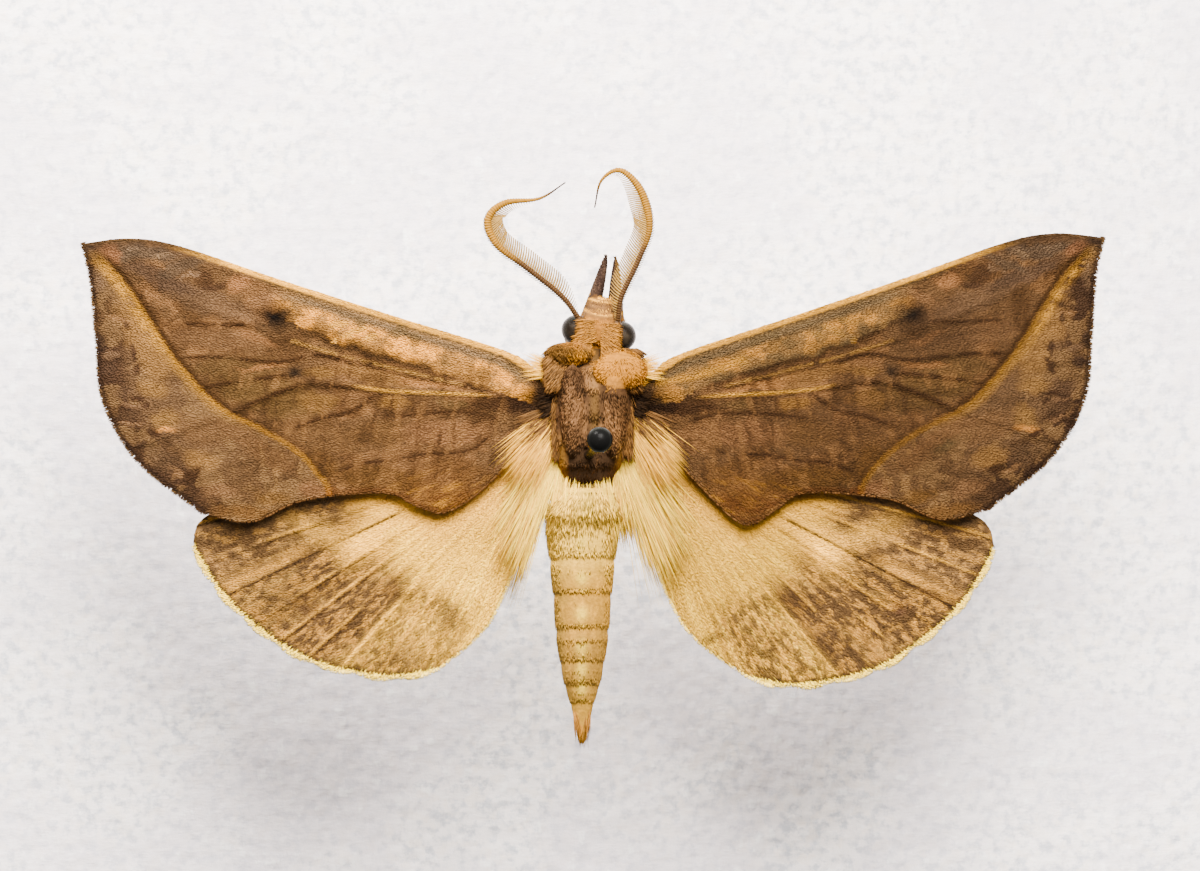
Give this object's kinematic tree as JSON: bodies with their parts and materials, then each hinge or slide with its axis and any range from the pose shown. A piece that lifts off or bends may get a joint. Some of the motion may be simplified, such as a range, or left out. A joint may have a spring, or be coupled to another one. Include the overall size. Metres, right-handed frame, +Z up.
{
  "type": "pinned moth specimen",
  "caption": "Still, life-size museum model of a vampire moth with spread wings, held over a foam block by an insect pin through its thorax.",
  "frame": {"origin": "centre of the foam block's underside", "axes": "+X to the right of the picture and along the block's longest side, +Y the way the head points, +Z up towards the camera"},
  "size_m": [0.062, 0.047, 0.038],
  "materials": {
    "body_coat": "matt hair-like scales, orange on the head, brown on the thorax and straw on the abdomen",
    "eye": "dark, softly glossy, finely faceted",
    "horny_skin": "satin orange-brown",
    "forewing": "matt scales, brown with an oblique line",
    "hindwing": "matt scales, straw at the root and brown towards the edge",
    "pin": "steel shaft with a glossy black head",
    "foam": "matt pale blue-white, fibrous"
  },
  "bodies": {
    "root": {"head": "body_coat", "thorax": "body_coat", "abdomen": "body_coat", "palp_left": "body_coat", "palp_right": "body_coat", "leg_front_left": "body_coat", "leg_front_right": "body_coat", "leg_middle_left": "body_coat", "leg_middle_right": "body_coat", "leg_hind_left": "body_coat", "leg_hind_right": "body_coat", "eye_left": "eye", "eye_right": "eye", "proboscis": "horny_skin", "antenna_left": "horny_skin", "antenna_left_tip": "horny_skin", "antenna_right": "horny_skin", "antenna_right_tip": "horny_skin", "forewing_left": "forewing", "forewing_right": "forewing", "hindwing_left": "hindwing", "hindwing_right": "hindwing", "stand_pin": "pin", "stand_base": "foam"}
  },
  "joints": []
}
